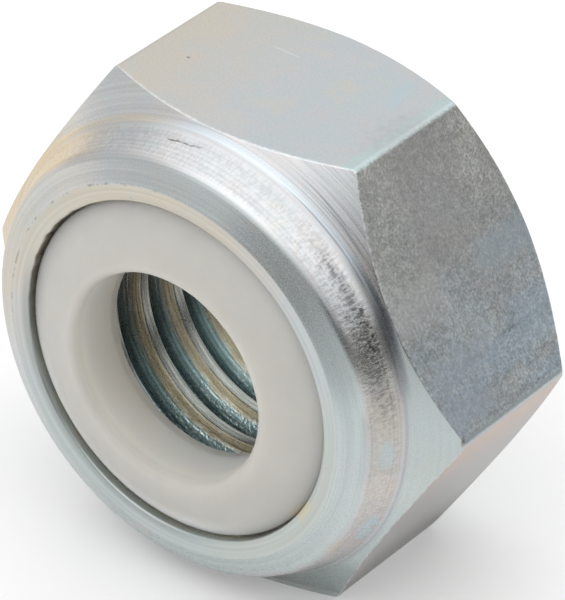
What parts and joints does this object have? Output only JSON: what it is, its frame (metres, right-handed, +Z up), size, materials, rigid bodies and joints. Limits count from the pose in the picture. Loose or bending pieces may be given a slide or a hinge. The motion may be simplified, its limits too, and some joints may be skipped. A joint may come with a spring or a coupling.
{
  "type": "sealing nut",
  "caption": "Hexagonal steel nut with both ends chamfered and a collar rolled over a domed plastic ring that grips and seals the bolt's thread.",
  "frame": {"origin": "on the surface that the nut lies on, below the middle of its bounding box, with the thread's axis 6.5 mm above it", "axes": "+Y along the thread's axis, out of the bearing face (the collar and ring face -Y); +Z up, out of the upper flat; +X level, towards a corner of the hexagon"},
  "size_m": [0.015, 0.0078, 0.013],
  "materials": {
    "zinc_plated_steel": "satin, clear passivated zinc with a faint iridescence and turning marks",
    "white_plastic": "satin, warm off-white"
  },
  "bodies": {
    "root": {"nut_body": "zinc_plated_steel", "sealing_ring": "white_plastic"}
  },
  "joints": []
}
